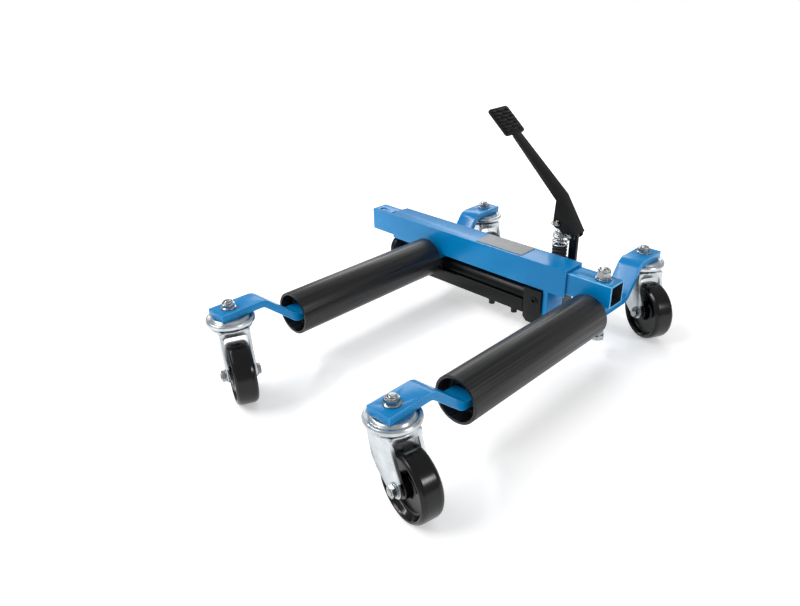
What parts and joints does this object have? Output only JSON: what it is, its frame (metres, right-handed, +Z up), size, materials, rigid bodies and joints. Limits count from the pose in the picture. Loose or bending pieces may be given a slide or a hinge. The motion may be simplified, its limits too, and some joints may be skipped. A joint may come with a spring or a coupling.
{
  "type": "wheel dolly",
  "caption": "Foot-pumped wheel dolly: a telescoping blue crossbar on swivel casters draws two long black rollers together under a tyre to lift it.",
  "frame": {"origin": "centre of the footprint, on the floor the wheels stand on", "axes": "+X along the crossbar from its guide end to its sliding end, +Y from the rollers' open ends towards the crossbar, +Z up"},
  "size_m": [0.6268, 0.709, 0.379],
  "materials": {
    "blue_paint": "satin-gloss blue powder coat",
    "label_film": "plain warm grey label film, unlettered",
    "black_paint": "satin black paint",
    "roller_black": "satin black coat on drawn tube",
    "bush_nylon": "moulded black nylon",
    "zinc_plate": "bright zinc plate on pressed steel",
    "wheel_black": "moulded glossy black",
    "boot_rubber": "matt black ribbed rubber",
    "hard_chrome": "ground and chrome-plated rod",
    "spring_steel": "drawn and zinc-plated wire"
  },
  "bodies": {
    "frame": {"outer_tube": "blue_paint", "label_plate": "label_film", "end_bracket": "blue_paint", "arm_left": "blue_paint", "roller_hub_left_front": "black_paint", "roller_hub_left_rear": "black_paint", "raceway_front_left": "zinc_plate", "stem_bolt_front_left": "zinc_plate", "stem_nut_front_left": "zinc_plate", "raceway_rear_left": "zinc_plate", "stem_bolt_rear_left": "zinc_plate", "stem_nut_rear_left": "zinc_plate", "ram_barrel": "black_paint", "barrel_cradle": "black_paint", "pump_block": "black_paint", "plunger_boot": "boot_rubber", "link_foot_pin": "zinc_plate"},
    "slide_arm": {"inner_tube": "blue_paint", "arm_right": "blue_paint", "arm_spacer": "blue_paint", "clamp_bolt": "zinc_plate", "clamp_nut": "zinc_plate", "clamp_sleeve": "zinc_plate", "roller_hub_right_front": "black_paint", "roller_hub_right_rear": "black_paint", "raceway_front_right": "zinc_plate", "stem_bolt_front_right": "zinc_plate", "stem_nut_front_right": "zinc_plate", "raceway_rear_right": "zinc_plate", "stem_bolt_rear_right": "zinc_plate", "stem_nut_rear_right": "zinc_plate", "ram_rod": "hard_chrome", "crosshead": "black_paint"},
    "roller_left": {"roller_left": "roller_black", "roller_bush_left_front": "bush_nylon", "roller_bush_left_rear": "bush_nylon"},
    "roller_right": {"roller_right": "roller_black", "roller_bush_right_front": "bush_nylon", "roller_bush_right_rear": "bush_nylon"},
    "caster_front_left": {"fork_front_left": "zinc_plate", "axle_bolt_front_left": "zinc_plate"},
    "wheel_front_left": {"wheel_front_left": "wheel_black"},
    "caster_front_right": {"fork_front_right": "zinc_plate", "axle_bolt_front_right": "zinc_plate"},
    "wheel_front_right": {"wheel_front_right": "wheel_black"},
    "caster_rear_left": {"fork_rear_left": "zinc_plate", "axle_bolt_rear_left": "zinc_plate"},
    "wheel_rear_left": {"wheel_rear_left": "wheel_black"},
    "caster_rear_right": {"fork_rear_right": "zinc_plate", "axle_bolt_rear_right": "zinc_plate"},
    "wheel_rear_right": {"wheel_rear_right": "wheel_black"},
    "plunger": {"plunger_rod": "hard_chrome", "spring_retainer": "zinc_plate", "return_spring": "spring_steel", "plunger_pin": "zinc_plate"},
    "link": {"fulcrum_link": "black_paint", "fulcrum_pin": "zinc_plate"},
    "pedal": {"pedal_lever": "black_paint", "pedal_pad": "black_paint"},
    "release_valve": {"release_valve": "zinc_plate"}
  },
  "joints": [
    {"name": "crossbar_slide", "type": "slide", "parent": "frame", "child": "slide_arm", "axis": [1, 0, 0], "range_m": [-0.025, 0.085]},
    {"name": "roller_spin_left", "type": "hinge", "parent": "frame", "child": "roller_left", "pos_m": [-0.14189, 0, 0.0917], "axis": [0, 1, 0], "continuous": true},
    {"name": "roller_spin_right", "type": "hinge", "parent": "slide_arm", "child": "roller_right", "pos_m": [0.22411, 0, 0.0917], "axis": [0, 1, 0], "continuous": true},
    {"name": "swivel_front_left", "type": "hinge", "parent": "frame", "child": "caster_front_left", "pos_m": [-0.14189, -0.30891, 0.09], "axis": [0, 0, 1], "continuous": true},
    {"name": "swivel_front_right", "type": "hinge", "parent": "slide_arm", "child": "caster_front_right", "pos_m": [0.22411, -0.30891, 0.09], "axis": [0, 0, 1], "continuous": true},
    {"name": "swivel_rear_left", "type": "hinge", "parent": "frame", "child": "caster_rear_left", "pos_m": [-0.14189, 0.31509, 0.09], "axis": [0, 0, 1], "continuous": true},
    {"name": "swivel_rear_right", "type": "hinge", "parent": "slide_arm", "child": "caster_rear_right", "pos_m": [0.22411, 0.31509, 0.09], "axis": [0, 0, 1], "continuous": true},
    {"name": "wheel_spin_front_left", "type": "hinge", "parent": "caster_front_left", "child": "wheel_front_left", "pos_m": [-0.10758, -0.32277, 0.05076], "axis": [0.3746, 0.9272, 0], "continuous": true},
    {"name": "wheel_spin_front_right", "type": "hinge", "parent": "caster_front_right", "child": "wheel_front_right", "pos_m": [0.26043, -0.31597, 0.05076], "axis": [0.1908, 0.9816, 0], "continuous": true},
    {"name": "wheel_spin_rear_left", "type": "hinge", "parent": "caster_rear_left", "child": "wheel_rear_left", "pos_m": [-0.10835, 0.29946, 0.05076], "axis": [0.4226, 0.9063, 0], "continuous": true},
    {"name": "wheel_spin_rear_right", "type": "hinge", "parent": "caster_rear_right", "child": "wheel_rear_right", "pos_m": [0.25647, 0.29715, 0.05076], "axis": [0.4848, 0.8746, 0], "continuous": true},
    {"name": "plunger_stroke", "type": "slide", "parent": "frame", "child": "plunger", "axis": [0, 0, 1], "range_m": [-0.012, 0], "stiffness_N_per_m": 3000, "springref_m": 0.008, "deforming": ["return_spring"]},
    {"name": "link_swing", "type": "hinge", "parent": "frame", "child": "link", "pos_m": [0.12711, 0.23809, 0.084], "axis": [0, 1, 0], "range_deg": [-0.2, 2.6]},
    {"name": "pedal_hinge", "type": "hinge", "parent": "link", "child": "pedal", "pos_m": [0.12711, 0.23809, 0.1795], "axis": [0, 1, 0], "range_deg": [-24, 0]},
    {"name": "valve_turn", "type": "hinge", "parent": "frame", "child": "release_valve", "pos_m": [0.11011, 0.149, 0.074], "axis": [0, -1, 0], "range_deg": [0, 90]}
  ],
  "couplings": [
    {"joint": "plunger_stroke", "follows": "pedal_hinge", "m_per_rad": 0.0277},
    {"joint": "link_swing", "follows": "pedal_hinge", "ratio": -0.1}
  ]
}
